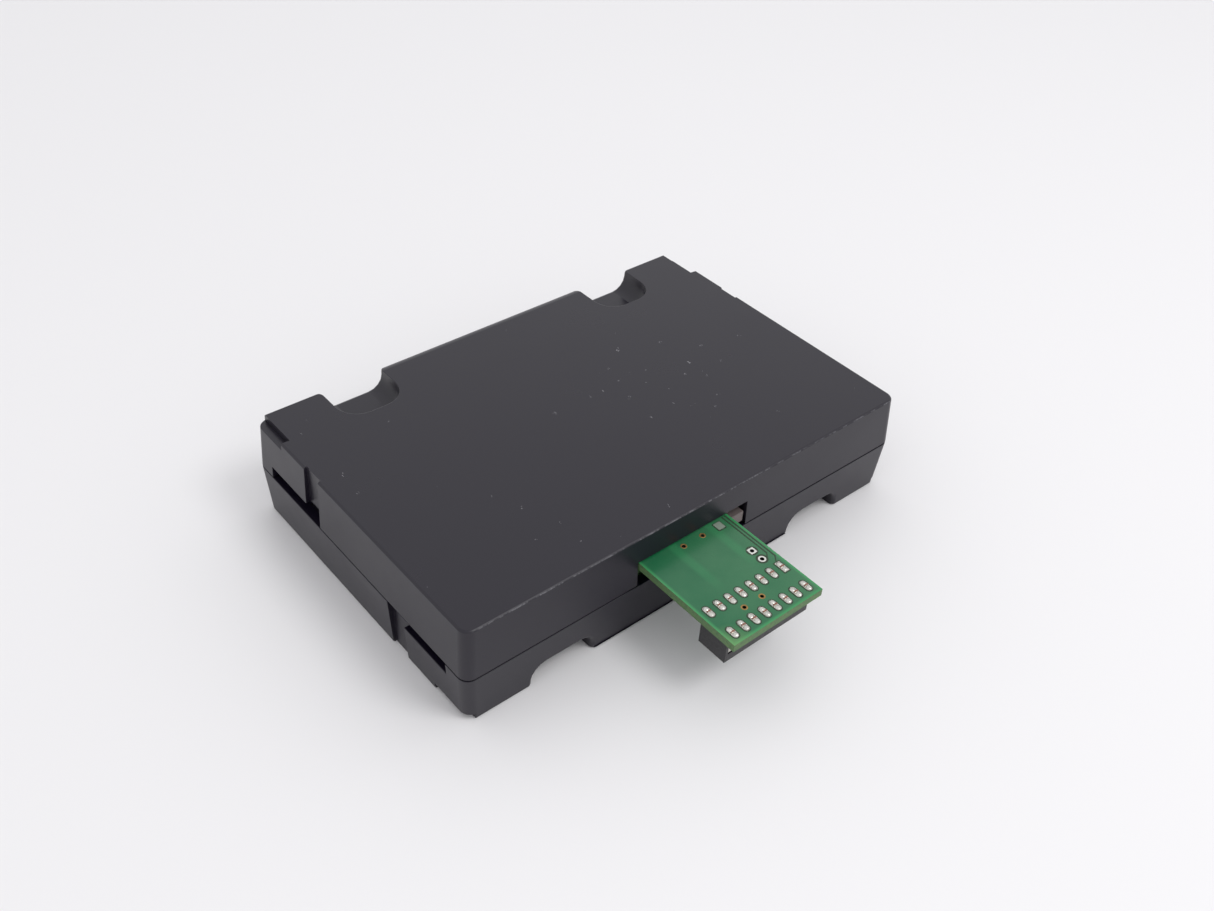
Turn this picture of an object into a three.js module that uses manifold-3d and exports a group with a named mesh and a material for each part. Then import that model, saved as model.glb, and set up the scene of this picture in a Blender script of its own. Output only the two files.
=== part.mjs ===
// USB microcontroller programmer: a flat snap-together case of two identical shells, a main
// board between them, and a plug-in target adapter board that sticks out of the front.
// Millimetres. +X runs along the case, +Z up, and the adapter points along -Y.
// The origin is the centre of the case's bottom face.

import * as THREE from 'three';
import { ConvexGeometry } from 'three/addons/geometries/ConvexGeometry.js';
import { mergeVertices } from 'three/addons/utils/BufferGeometryUtils.js';
import Module from 'manifold-3d';

const wasm = await Module();
wasm.setup();

// Case shells. Both are the same moulding: the lower one is turned over about the X axis.
const caseLength = 106;
const caseWidth = 69.7;
const shellHeight = 11;
const draftAngle = 3.3; // degrees, on all four side walls
const cornerRadius = 2.2;
const wall = 2;
const seam = 0.3; // open line between the two rims
const edgeBreak = 0.3; // chamfer round the flat outer face

// Finger grips scooped out of the long back edge of a shell
const gripSpacing = 64;
const gripWidth = 13.4;
const gripReach = 10.9;
const gripDepth = 4.4;
const gripCorner = 5;
const gripFillet = 3;

// Stepped ledges, relief panels and latch slots on the short walls
const ledgeWidth = 1.8;
const ledgeDepth = 1.4;
const ledgeLength = 9.6;
const reliefFromBack = 18.7;
const reliefWidth = 4.8;
const reliefDepth = 1.25;
const slotHeight = 2.6;
const slotFromBack = 5.85;
const tabHeight = 2.4;
const tabThickness = 1.2;
const tabEndClearance = 1.5;

// Posts that locate and clamp the main board
const postRadius = 3;
const postInset = 5.5;
const postWebThickness = 1.6;
const pinRadius = 1.5;
const pinLength = 4.2;
const pinClearance = 0.25;

// Port in the long plain wall, open to the rim
const portWidth = 26.9;
const portHeight = 5.55;
const portLeft = -16;
const portClearance = 0.3;

// Circuit boards
const boardThickness = 1.6;
const boardClearance = 0.5;
const assemblyGap = 0.1;
const adapterWidth = 21.4;
const adapterOverhang = 23.45; // out of the front wall, from the rim line
const adapterInside = 22.5;

// Target socket under the adapter's tip
const contactPitch = 2.54;
const contactColumns = 8;
const contactRowSpacing = 5.74;
const socketCavitySpacing = 2.54;
const socketDepth = 6.35;
const socketHeight = 4.7;
const socketStandoff = 0.3;
const socketCentreFromTip = 5.2;
const contactWidth = 0.9;
const contactThickness = 0.3;
const contactClearance = 0.2;
const tailProud = 0.35; // tail above the adapter's top face
const contactSeat = 2.4; // below the socket's top face
const contactReach = 4; // lowest point of the spring leaf below the socket's top face
const cavityWidth = 1;

// Jumper holes and plated vias of the adapter
const jumperPitch = 2.54;
const jumperFromTip = 11.6;
const jumperFromRight = 3.2;
const jumperHoleRadius = 0.45;
const viaRadius = 0.3;
const outerViaSpacing = 4.25;
const outerViaOffset = -1.15;
const innerViaSpacing = 4.6;
const innerViaOffset = 0.8;
const innerViaFromWall = 1.1;

// Socket strip between main board and adapter
const headerLength = 20.32;
const headerDepth = 7.15;
const headerSetback = 0.45; // behind the rim line of the front wall
const rearHeaderDepth = 2.5;

// USB receptacle under the main board's back edge, and the plate round it
const usbWidth = 7.7;
const usbHeight = 3.9;
const usbLength = 9.2;
const usbSheet = 0.35;
const usbChamfer = 1.1;
const usbTongueThickness = 1;
const plateThickness = 1.7;
const plateFlange = 1.5;
const plateSetback = 0.25;
const lampBore = 1.1; // radius of the hole in front of a lamp
const lampHeight = 2.4;
const lampDepth = 2.6;
const lampGap = 0.5; // from the plate's inner face to the lamp

// Values worked out from the ones above
const draftSlope = Math.tan(THREE.MathUtils.degToRad(draftAngle));
const halfLength = caseLength / 2;
const halfWidth = caseWidth / 2;
const innerHalfLength = halfLength - wall;
const innerHalfWidth = halfWidth - wall;
const portRight = portLeft + portWidth;
const portCentre = (portLeft + portRight) / 2;
const postX = innerHalfLength - postInset;
const postY = innerHalfWidth - postInset;
const postEnd = boardThickness / 2 + assemblyGap;
const boardTop = boardThickness / 2;
const adapterTop = portHeight - portClearance;
const adapterBottom = adapterTop - boardThickness;
const adapterCentre = portLeft + portClearance + adapterWidth / 2;
const adapterTip = -halfWidth - adapterOverhang;
const socketLength = contactPitch * contactColumns;
const socketCentreY = adapterTip + socketCentreFromTip;
const cut = 1; // how far a cutting solid runs past the face that it opens

function solid(geometry) {
  geometry.deleteAttribute('normal');
  geometry.deleteAttribute('uv');
  const merged = mergeVertices(geometry, 1e-4);
  return new wasm.Manifold(new wasm.Mesh({
    numProp: 3,
    vertProperties: Float32Array.from(merged.attributes.position.array),
    triVerts: Uint32Array.from(merged.index.array),
  }));
}

function part(name, body, colour, roughness, metalness = 0) {
  const mesh = body.getMesh();
  const geometry = new THREE.BufferGeometry();
  geometry.setAttribute('position', new THREE.BufferAttribute(mesh.vertProperties, 3));
  geometry.setIndex(new THREE.BufferAttribute(mesh.triVerts, 1));
  geometry.computeVertexNormals();
  const material = new THREE.MeshStandardMaterial({ color: colour, roughness, metalness });
  const node = new THREE.Mesh(geometry, material);
  node.name = name;
  return node;
}

// A block given by its lowest and highest corners
function block(x0, y0, z0, x1, y1, z1) {
  const geometry = new THREE.BoxGeometry(x1 - x0, y1 - y0, z1 - z0);
  geometry.translate((x0 + x1) / 2, (y0 + y1) / 2, (z0 + z1) / 2);
  return solid(geometry);
}

function rod(x, y, z0, z1, radius, sides = 16) {
  const geometry = new THREE.CylinderGeometry(radius, radius, z1 - z0, sides);
  geometry.rotateX(Math.PI / 2);
  geometry.translate(x, y, (z0 + z1) / 2);
  return solid(geometry);
}

function roundedRectangle(x0, y0, x1, y1, radius) {
  const shape = new THREE.Shape();
  shape.moveTo(x0 + radius, y0);
  shape.lineTo(x1 - radius, y0);
  shape.absarc(x1 - radius, y0 + radius, radius, -Math.PI / 2, 0);
  shape.lineTo(x1, y1 - radius);
  shape.absarc(x1 - radius, y1 - radius, radius, 0, Math.PI / 2);
  shape.lineTo(x0 + radius, y1);
  shape.absarc(x0 + radius, y1 - radius, radius, Math.PI / 2, Math.PI);
  shape.lineTo(x0, y0 + radius);
  shape.absarc(x0 + radius, y0 + radius, radius, Math.PI, Math.PI * 1.5);
  return shape;
}

// A closed outline pulled along X from x0 to x1; its points are [y, z]
function profileAlongX(points, x0, x1) {
  const shape = new THREE.Shape(points.map(([y, z]) => new THREE.Vector2(y, z)));
  const geometry = new THREE.ExtrudeGeometry(shape, { depth: x1 - x0, bevelEnabled: false });
  geometry.rotateZ(Math.PI / 2);
  geometry.rotateY(Math.PI / 2);
  geometry.translate(x0, 0, 0);
  return solid(geometry);
}

// The space inside the drafted walls moved inwards by inset, from z0 to z1
function draftedBlock(inset, z0, z1, chamfer = 0) {
  const points = [];
  const addOutline = (z, extra) => {
    const shrink = inset + draftSlope * z + extra;
    const radius = Math.max(cornerRadius - inset - extra, 0.4);
    const outline = roundedRectangle(
      shrink - halfLength, shrink - halfWidth, halfLength - shrink, halfWidth - shrink, radius);
    for (const point of outline.getPoints(5)) {
      points.push(new THREE.Vector3(point.x, point.y, z));
    }
  };
  addOutline(z0, 0);
  addOutline(z1 - chamfer, 0);
  if (chamfer > 0) addOutline(z1, chamfer);
  return solid(new ConvexGeometry(points));
}

// A finger grip, or with grow the space that it and its lining take up
function gripPocket(side, grow) {
  const centre = side * gripSpacing / 2;
  const edge = halfWidth - draftSlope * shellHeight;
  const radius = gripFillet + grow;
  const shape = roundedRectangle(
    centre - gripWidth / 2 - grow, edge - gripReach - grow,
    centre + gripWidth / 2 + grow, edge + gripReach, gripCorner + grow);
  const geometry = new THREE.ExtrudeGeometry(shape, {
    depth: shellHeight, curveSegments: 5, bevelThickness: radius,
    bevelSize: radius, bevelOffset: -radius, bevelSegments: 4,
  });
  geometry.translate(0, 0, shellHeight - gripDepth - grow + radius);
  return solid(geometry);
}

// Ledge, relief panel and latch slot at the back end of one short wall
function sideCuts(side) {
  const beyond = side * (halfLength + cut);
  const across = (x0, y0, z0, y1, z1) =>
    block(Math.min(x0, beyond), y0, z0, Math.max(x0, beyond), y1, z1);
  const topEdge = halfLength - draftSlope * shellHeight;
  const backEdge = halfWidth - draftSlope * shellHeight;
  const ledge = across(side * (topEdge - ledgeWidth), backEdge - ledgeLength,
    shellHeight - ledgeDepth, halfWidth + cut, shellHeight + cut);
  const reliefEnd = halfWidth - reliefFromBack;
  const relief = across(side * (halfLength - reliefDepth), reliefEnd - reliefWidth, -cut,
    reliefEnd, shellHeight + cut);
  const slot = across(side * (innerHalfLength - cut), reliefEnd - reliefWidth, -cut,
    halfWidth - slotFromBack, slotHeight);
  return ledge.add(relief).add(slot);
}

// Upright tab that stands behind the other shell's latch slot
function latchTab(side) {
  const slotStart = halfWidth - reliefFromBack - reliefWidth;
  const y0 = slotFromBack - halfWidth + tabEndClearance;
  const y1 = -slotStart - tabEndClearance;
  const outer = innerHalfLength - draftSlope * tabHeight - assemblyGap - seam;
  const inner = outer - tabThickness;
  const root = 2 * tabHeight;
  const leaf = [side * inner, side * outer].sort((a, b) => a - b);
  const foot = [side * inner, side * (innerHalfLength + wall / 4)].sort((a, b) => a - b);
  return block(leaf[0], y0, -tabHeight, leaf[1], y1, root)
    .add(block(foot[0], y0, seam, foot[1], y1, root));
}

// Board post with a web to the nearest short wall
function post(x, y) {
  const roof = shellHeight - wall / 2;
  const wallX = Math.sign(x) * (innerHalfLength - draftSlope * shellHeight + wall / 4);
  const web = block(Math.min(x, wallX), y - postWebThickness / 2, postEnd + postRadius,
    Math.max(x, wallX), y + postWebThickness / 2, roof);
  return rod(x, y, postEnd, roof, postRadius).add(web);
}

function shell() {
  const outer = draftedBlock(0, seam / 2, shellHeight, edgeBreak);
  let hollow = draftedBlock(wall, -cut, shellHeight - wall);
  let cuts = block(portLeft, -halfWidth - cut, -cut, portRight, -innerHalfWidth + cut, portHeight);
  let adds = null;
  for (const side of [-1, 1]) {
    hollow = hollow.subtract(gripPocket(side, wall));
    cuts = cuts.add(gripPocket(side, 0)).add(sideCuts(side));
    const pinX = side * postX;
    const pin = rod(pinX, -postY, -pinLength, postEnd + postRadius, pinRadius);
    const furniture = latchTab(side).add(post(pinX, -postY)).add(pin).add(post(pinX, postY));
    adds = adds ? adds.add(furniture) : furniture;
    cuts = cuts.add(rod(pinX, postY, -cut, pinLength + 2 * pinClearance,
      pinRadius + pinClearance));
  }
  return outer.subtract(hollow).add(adds).subtract(cuts);
}

// Main board with clearance holes for the locating pins
function mainBoard() {
  const x = innerHalfLength - draftSlope * tabHeight - tabThickness - seam - 2 * boardClearance;
  const y = innerHalfWidth - boardClearance;
  let board = block(-x, -y, -boardTop, x, y, boardTop);
  for (const [sx, sy] of [[-1, -1], [1, -1], [-1, 1], [1, 1]]) {
    board = board.subtract(rod(sx * postX, sy * postY, -boardThickness, boardThickness,
      pinRadius + pinClearance));
  }
  return board;
}

function contactPlaces() {
  const places = [];
  for (const row of [1, -1]) {
    for (let column = 0; column < contactColumns; column += 1) {
      places.push({ row, x: (column - (contactColumns - 1) / 2) * contactPitch });
    }
  }
  return places;
}

// Adapter board about its socket's centre, with its top face at z = 0
function adapterBoard() {
  const tip = -socketCentreFromTip;
  const right = adapterWidth / 2;
  const back = tip + adapterOverhang + adapterInside;
  const wallLine = tip + adapterOverhang;
  let board = block(-right, tip, -boardThickness, right, back, 0);
  const slotX = contactWidth / 2 + contactClearance;
  const slotY = contactThickness / 2 + contactClearance;
  for (const { row, x } of contactPlaces()) {
    const y = row * contactRowSpacing / 2;
    board = board.subtract(
      block(x - slotX, y - slotY, -boardThickness - cut, x + slotX, y + slotY, cut));
  }
  const jumperX = right - jumperFromRight;
  const jumperY = tip + jumperFromTip;
  const holes = [
    [jumperX, jumperY, jumperHoleRadius],
    [jumperX, jumperY + jumperPitch, jumperHoleRadius],
    [outerViaOffset - outerViaSpacing / 2, 0, viaRadius],
    [outerViaOffset + outerViaSpacing / 2, 0, viaRadius],
    [innerViaOffset - innerViaSpacing / 2, wallLine - innerViaFromWall, viaRadius],
    [innerViaOffset + innerViaSpacing / 2, wallLine - innerViaFromWall, viaRadius],
  ];
  for (const [x, y, radius] of holes) {
    board = board.subtract(rod(x, y, -boardThickness - cut, cut, radius, 12));
  }
  return board;
}

// Socket housing with its top face at z = 0: one chamber and one entry hole per contact
function socketBody() {
  let body = block(-socketLength / 2, -socketDepth / 2, -socketHeight,
    socketLength / 2, socketDepth / 2, 0);
  const slotX = contactWidth / 2 + contactClearance;
  const hole = cavityWidth / 2;
  const innerY = socketCavitySpacing / 2;
  const tailY = contactRowSpacing / 2 - contactThickness / 2 - contactClearance;
  const chamberFloor = contactSeat + contactThickness + contactClearance;
  for (const { row, x } of contactPlaces()) {
    const span = (y0, y1, z0, z1, half) => block(x - half, Math.min(row * y0, row * y1), z0,
      x + half, Math.max(row * y0, row * y1), z1);
    body = body
      .subtract(span(tailY, socketDepth, -chamberFloor, cut, slotX))
      .subtract(span(innerY - hole, socketDepth, -chamberFloor, contactClearance - contactSeat,
        slotX))
      .subtract(span(innerY - hole, innerY + hole, -socketHeight - cut, -chamberFloor + assemblyGap,
        hole));
  }
  return body;
}

// One stamped contact of the row on the +Y side, with the socket's top face at z = 0
function contact(row) {
  const top = socketStandoff + boardThickness + tailProud;
  const outerY = contactRowSpacing / 2 + contactThickness / 2;
  const innerY = socketCavitySpacing / 2 + cavityWidth / 4 - contactThickness / 2;
  const t = contactThickness;
  const outline = [
    [outerY, top], [outerY - t, top], [outerY - t, -contactSeat],
    [innerY, -contactSeat], [innerY, -contactReach],
    [innerY + t, -contactReach], [innerY + t, -contactSeat - t], [outerY, -contactSeat - t],
  ].map(([y, z]) => [row * y, z]);
  return profileAlongX(outline, -contactWidth / 2, contactWidth / 2);
}

// USB receptacle can along Y with its mouth at y = 0 and its top at z = 0
function usbOutline(inset) {
  const x = usbWidth / 2 - inset;
  const bottom = inset - usbHeight;
  const shape = new THREE.Shape();
  shape.moveTo(-x, -inset);
  shape.lineTo(-x, bottom + usbChamfer);
  shape.lineTo(usbChamfer - x, bottom);
  shape.lineTo(x - usbChamfer, bottom);
  shape.lineTo(x, bottom + usbChamfer);
  shape.lineTo(x, -inset);
  return shape;
}

function usbSolid(inset, y0, y1) {
  const geometry = new THREE.ExtrudeGeometry(usbOutline(inset),
    { depth: y1 - y0, bevelEnabled: false });
  geometry.rotateX(Math.PI / 2);
  geometry.translate(0, y1, 0);
  return solid(geometry);
}

function usbCan() {
  return usbSolid(0, -usbLength, 0).subtract(usbSolid(usbSheet, usbSheet - usbLength, cut));
}

function usbInsert() {
  const fit = usbSheet + assemblyGap;
  const back = fit - usbLength;
  const middle = -usbHeight / 2;
  const half = usbWidth / 2 - usbChamfer - fit;
  return usbSolid(fit, back, back + usbLength / 4).add(
    block(-half, back, middle, half, -plateThickness / 2, middle + usbTongueThickness));
}

// Plate that closes the port of the lower shell round the USB receptacle
function portPlate() {
  const x0 = portLeft + plateSetback;
  const x1 = portRight - plateSetback;
  const face = halfWidth - draftSlope * portHeight - plateSetback;
  const lip = innerHalfWidth - draftSlope * (portHeight + plateFlange) - plateSetback;
  const low = plateSetback - portHeight;
  const top = -boardTop - plateSetback;
  const flange = block(x0 - plateFlange, lip - plateThickness / 2, low - plateFlange,
    x1 + plateFlange, lip, top);
  const usbTop = -boardTop - assemblyGap + plateSetback;
  const mouth = block(portCentre - usbWidth / 2 - plateSetback, 0,
    usbTop - usbHeight - 2 * plateSetback, portCentre + usbWidth / 2 + plateSetback,
    caseWidth, cut);
  let plate = block(x0, lip - plateThickness / 2, low, x1, face, top).add(flange);
  for (const side of [-1, 1]) {
    const lamp = new THREE.CylinderGeometry(lampBore, lampBore, caseWidth, 16);
    lamp.translate(portCentre + side * portWidth / 3, halfWidth, (low + top) / 2);
    plate = plate.subtract(solid(lamp));
  }
  return plate.subtract(mouth);
}

// A moulded chip body with bevelled upper edges, standing on z = 0
function chipBody(length, width, height) {
  const points = [];
  const add = (inset, z) => {
    for (const [sx, sy] of [[-1, -1], [1, -1], [1, 1], [-1, 1]]) {
      points.push(new THREE.Vector3(sx * (length / 2 - inset), sy * (width / 2 - inset), z));
    }
  };
  const bevel = height / 8;
  add(bevel, assemblyGap);
  add(0, height / 2);
  add(bevel, height);
  return solid(new ConvexGeometry(points));
}

function canBody(radius, height, squareBase) {
  const can = rod(0, 0, height / 5, height, radius, 20);
  return can.add(block(-squareBase / 2, -squareBase / 2, assemblyGap, squareBase / 2,
    squareBase / 2, height / 5 + assemblyGap));
}

const black = 0x434247;
const green = 0x3d7c5c;
const tin = 0xc9c7c2;
const epoxy = 0x26262a;

const device = new THREE.Group();

// Case
const housing = new THREE.Group();
housing.position.z = shellHeight;
const shellBody = shell();
const upperShell = part('upper_shell', shellBody, black, 0.55);
const lowerShell = part('lower_shell', shellBody, black, 0.5);
lowerShell.rotation.x = Math.PI;
housing.add(upperShell, lowerShell);
device.add(housing);

// Main board and what is soldered to it
const electronics = new THREE.Group();
electronics.position.z = shellHeight;
electronics.add(part('main_board', mainBoard(), green, 0.45));

function onBoard(name, body, x, y, colour, roughness, metalness) {
  const node = part(name, body, colour, roughness, metalness);
  node.position.set(x, y, boardTop);
  electronics.add(node);
}

// Chips stand behind the adapter's inner end, and the supply parts near the front wall
const adapterBack = adapterTip + adapterOverhang + adapterInside;
const behindAdapter = (distance) => adapterBack + distance;
const fromFront = (distance) => distance - innerHalfWidth;
onBoard('level_shifter_chip_1', chipBody(6.5, 4.4, 1.1), -8, behindAdapter(5.4), epoxy, 0.6);
onBoard('level_shifter_chip_2', chipBody(6.5, 4.4, 1.1), 2, behindAdapter(5.4), epoxy, 0.6);
onBoard('logic_array_chip', chipBody(14, 14, 1.4), 6, behindAdapter(18.4), epoxy, 0.6);
onBoard('memory_chip', chipBody(5, 4, 1.5), -12, behindAdapter(24.4), epoxy, 0.6);
onBoard('usb_controller_chip', chipBody(10, 10, 1.2), -27, behindAdapter(20.4), epoxy, 0.6);
onBoard('crystal_can', chipBody(11.4, 4.7, 3.3), -27, behindAdapter(8.4), tin, 0.25, 1);
onBoard('voltage_regulator', chipBody(6.5, 3.5, 1.7), 26, behindAdapter(4.4), epoxy, 0.6);
onBoard('power_inductor', chipBody(7, 7, 3), 27, behindAdapter(16.4), 0x3a3a3c, 0.7);
onBoard('bulk_capacitor_1', canBody(3.1, 5.4, 6.6), 26, fromFront(11.9), tin, 0.3, 1);
onBoard('bulk_capacitor_2', canBody(3.1, 5.4, 6.6), 34, fromFront(11.9), tin, 0.3, 1);
onBoard('resettable_fuse', chipBody(4.5, 3.2, 1), 16, fromFront(16.9), 0x6b7a3a, 0.5);
onBoard('transient_suppressor', chipBody(4.3, 3.6, 2.2), 18, fromFront(7.9), epoxy, 0.6);

// Socket strips that carry the adapter
const headerHeight = adapterBottom - boardTop - portClearance;
const headerY = -halfWidth + headerSetback;
const headerRight = portRight - boardClearance;
const header = block(headerRight - headerLength, headerY, assemblyGap,
  headerRight, headerY + headerDepth, headerHeight);
onBoard('adapter_socket_strip', header, 0, 0, 0x6f6964, 0.6);
const rearHeader = block(adapterCentre - socketLength / 2, adapterBack - 2 * rearHeaderDepth,
  assemblyGap, adapterCentre + socketLength / 2, adapterBack - rearHeaderDepth, headerHeight);
onBoard('adapter_rear_strip', rearHeader, 0, 0, epoxy, 0.6);

// Underside of the main board
const usb = new THREE.Group();
const usbMouth = halfWidth - draftSlope * portHeight - plateSetback;
usb.position.set(portCentre, usbMouth, -boardTop - assemblyGap);
usb.add(part('usb_receptacle_can', usbCan(), tin, 0.25, 1));
usb.add(part('usb_receptacle_insert', usbInsert(), 0x1c1c1e, 0.5));
electronics.add(usb);
electronics.add(part('port_plate', portPlate(), black, 0.5));
for (const side of [-1, 1]) {
  const colour = side < 0 ? 0x3fae49 : 0xd8a21c;
  const name = side < 0 ? 'power_lamp' : 'busy_lamp';
  const lamp = part(name, chipBody(lampDepth, lampDepth, lampHeight), colour, 0.3);
  const lip = innerHalfWidth - draftSlope * (portHeight + plateFlange) - plateSetback;
  lamp.rotation.x = Math.PI;
  lamp.position.set(portCentre + side * portWidth / 3,
    lip - plateThickness / 2 - lampGap - lampDepth / 2, -boardTop);
  electronics.add(lamp);
}
device.add(electronics);

// Adapter with the target socket under its tip
const adapter = new THREE.Group();
adapter.position.set(adapterCentre, socketCentreY, shellHeight + adapterTop);
adapter.add(part('adapter_board', adapterBoard(), green, 0.4));
const socket = new THREE.Group();
socket.position.z = -boardThickness - socketStandoff;
socket.add(part('target_socket_body', socketBody(), 0x353537, 0.5));
contactPlaces().forEach(({ row, x }, index) => {
  const pin = part(`target_contact_${index + 1}`, contact(row), tin, 0.3, 1);
  pin.position.x = x;
  socket.add(pin);
});
adapter.add(socket);
const buffer = part('adapter_buffer_chip', chipBody(6.5, 4.4, 1.1), epoxy, 0.6);
buffer.position.y = adapterOverhang - socketCentreFromTip + adapterInside / 2;
adapter.add(buffer);
device.add(adapter);

export default device;
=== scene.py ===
import math
import random

import bmesh
import bpy
from mathutils import Matrix, Vector


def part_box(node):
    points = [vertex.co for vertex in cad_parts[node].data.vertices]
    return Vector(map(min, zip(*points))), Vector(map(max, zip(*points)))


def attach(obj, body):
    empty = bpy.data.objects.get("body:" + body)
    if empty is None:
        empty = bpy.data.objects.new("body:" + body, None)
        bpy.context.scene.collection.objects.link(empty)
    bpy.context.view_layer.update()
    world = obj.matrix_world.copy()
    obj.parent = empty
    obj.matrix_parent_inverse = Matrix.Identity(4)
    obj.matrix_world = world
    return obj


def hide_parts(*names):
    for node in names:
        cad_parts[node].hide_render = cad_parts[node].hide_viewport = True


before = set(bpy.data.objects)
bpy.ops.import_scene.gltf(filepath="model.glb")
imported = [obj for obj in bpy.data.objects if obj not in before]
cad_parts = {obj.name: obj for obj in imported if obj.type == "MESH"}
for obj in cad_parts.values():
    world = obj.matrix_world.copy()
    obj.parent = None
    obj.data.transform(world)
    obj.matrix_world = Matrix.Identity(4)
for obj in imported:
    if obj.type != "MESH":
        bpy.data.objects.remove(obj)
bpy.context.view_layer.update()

MM = 0.001

# ---------------------------------------------------------------- Camera
# A plain 37 mm view from a standing height, over the case's front left corner.
bpy.ops.object.camera_add(location=(-0.12435, -0.14358, 0.16896),
                          rotation=[math.radians(a) for a in (50.033, -2.932, -39.856)])
camera = bpy.context.object
camera.data.sensor_width = 36
camera.data.lens = 36.62
camera.data.clip_start = 0.01
bpy.context.scene.camera = camera
bpy.context.scene.view_settings.view_transform = "Standard"


# ---------------------------------------------------------------- Table and light
# A white laminate bench top under a white photographic tent, with one soft lamp overhead.
def linear(code):
    """An sRGB hex colour as linear RGBA."""
    parts = [int(code[i:i + 2], 16) / 255 for i in (1, 3, 5)]
    return [c / 12.92 if c <= 0.04045 else ((c + 0.055) / 1.055) ** 2.4 for c in parts] + [1]


def surface(name, colour, roughness, **sockets):
    """A new material whose Principled shader has these values on its own sockets."""
    material = bpy.data.materials.new(name)
    material.use_nodes = True
    shader = material.node_tree.nodes["Principled BSDF"]
    shader.inputs["Base Color"].default_value = linear(colour)
    shader.inputs["Roughness"].default_value = roughness
    for socket, value in sockets.items():
        shader.inputs[socket].default_value = value
    return material


def add(material, kind, inputs=(), **settings):
    """Adds a shader node. An input's value is a number, a colour, or the socket that feeds it."""
    tree = material.node_tree
    made = tree.nodes.new("ShaderNode" + kind)
    for key, value in settings.items():
        setattr(made, key, value)
    for key, value in dict(inputs).items():
        if isinstance(value, bpy.types.NodeSocket):
            tree.links.new(value, made.inputs[key])
        else:
            made.inputs[key].default_value = value
    return made


bpy.ops.mesh.primitive_plane_add(size=6)
table = bpy.context.object
table.name = "bench_top"
# White melamine laminate, matt pressed: the eye gets a clean, faintly cool white
table.data.materials.append(surface("melamine_laminate_matt", "#eae9ea", 0.5))

tent = bpy.data.worlds.new("white_tent")
tent.use_nodes = True
tent.node_tree.nodes["Background"].inputs["Color"].default_value = linear("#fafafc")
tent.node_tree.nodes["Background"].inputs["Strength"].default_value = 0.94
bpy.context.scene.world = tent

bpy.ops.object.light_add(type="AREA", location=(0.18, -0.45, 0.68))
lamp = bpy.context.object
lamp.name = "overhead_lamp"
lamp.data.shape = "DISK"
lamp.data.size = 0.34
lamp.data.energy = 1.85
lamp.rotation_euler = (-lamp.location).to_track_quat("-Z", "Y").to_euler()


# ---------------------------------------------------------------- Case shells
# Two copies of one black ABS moulding, the lower turned over, snapped together at the rim.
# The tool was spark eroded, so all its faces are finely matt, the walls the most.
def feed(material, sources):
    """Links sockets into a material's Principled shader."""
    shader = material.node_tree.nodes["Principled BSDF"]
    for name, source in sources.items():
        material.node_tree.links.new(source, shader.inputs[name])


def deselect():
    """Leaves edit mode, with nothing selected."""
    if bpy.context.mode != "OBJECT":
        bpy.ops.object.mode_set(mode="OBJECT")
    bpy.ops.object.select_all(action="DESELECT")


def pick(piece):
    """Selects one piece only, and makes it the active one."""
    deselect()
    piece.select_set(True)
    bpy.context.view_layer.objects.active = piece


def edit(piece, mode="FACE"):
    """Opens a piece in edit mode with all of it selected; returns its edit mesh."""
    pick(piece)
    bpy.ops.object.mode_set(mode="EDIT")
    bpy.ops.mesh.select_mode(type=mode)
    bpy.ops.mesh.select_all(action="SELECT")
    return bmesh.from_edit_mesh(piece.data)


def choose(piece, mesh, kind, test):
    """Selects only the edges or vertices that pass the test."""
    bpy.ops.mesh.select_all(action="DESELECT")
    for item in getattr(mesh, kind):
        if test(item):
            item.select_set(True)
    mesh.select_flush_mode()
    bmesh.update_edit_mesh(piece.data)


def bevel(piece, width, segments, test=lambda edge: True):
    """Rounds the edges of a piece that pass the test."""
    choose(piece, edit(piece, "EDGE"), "edges", test)
    bpy.ops.mesh.bevel(offset=width, segments=segments, affect="EDGES")
    bpy.ops.object.mode_set(mode="OBJECT")


def break_edges(piece, width, keep=lambda edge: True):
    """Rounds a piece's sharp edges, leaving out those where there isn't room for the width."""
    bevel(piece, width, 2, lambda e: len(e.link_faces) == 2
          and e.calc_face_angle(0) > math.radians(30) and keep(e)
          and all(f.calc_area() / e.calc_length() > 2 * width for f in e.link_faces)
          and all(x.calc_length() > 2.2 * width for v in e.verts for x in v.link_edges))


def smooth(piece, angle=32, level=False):
    """Smooth shading across small angles, with the large flat faces kept flat. Level also cuts
    the shading off where a horizontal face ends."""
    pick(piece)
    bpy.ops.object.shade_smooth_by_angle(angle=math.radians(angle))
    if level:
        choose(piece, edit(piece, "EDGE"), "edges",
               lambda e: len({abs(f.normal.z) > 0.9999 for f in e.link_faces}) == 2)
        bpy.ops.mesh.mark_sharp()
        bpy.ops.object.mode_set(mode="OBJECT")
    weighted = piece.modifiers.new("flat_faces", "WEIGHTED_NORMAL")
    weighted.keep_sharp = True
    bpy.ops.object.modifier_apply(modifier=weighted.name)


def merged_copy(node, name):
    """A copy of a CAD node as one merged mesh of large faces, which stands for the node."""
    piece = bpy.data.objects.new(name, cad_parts[node].data.copy())
    bpy.context.scene.collection.objects.link(piece)
    edit(piece)
    bpy.ops.mesh.customdata_custom_splitnormals_clear()
    bpy.ops.mesh.remove_doubles(threshold=0.004 * MM)
    bpy.ops.mesh.dissolve_limited(angle_limit=math.radians(0.6))
    bpy.ops.object.mode_set(mode="OBJECT")
    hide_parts(node)
    return piece


def finish_piece(piece, materials, body="base"):
    """Gives a piece its materials and its body."""
    piece.data.materials.clear()
    for material in materials:
        piece.data.materials.append(material)
    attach(piece, body)
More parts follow.
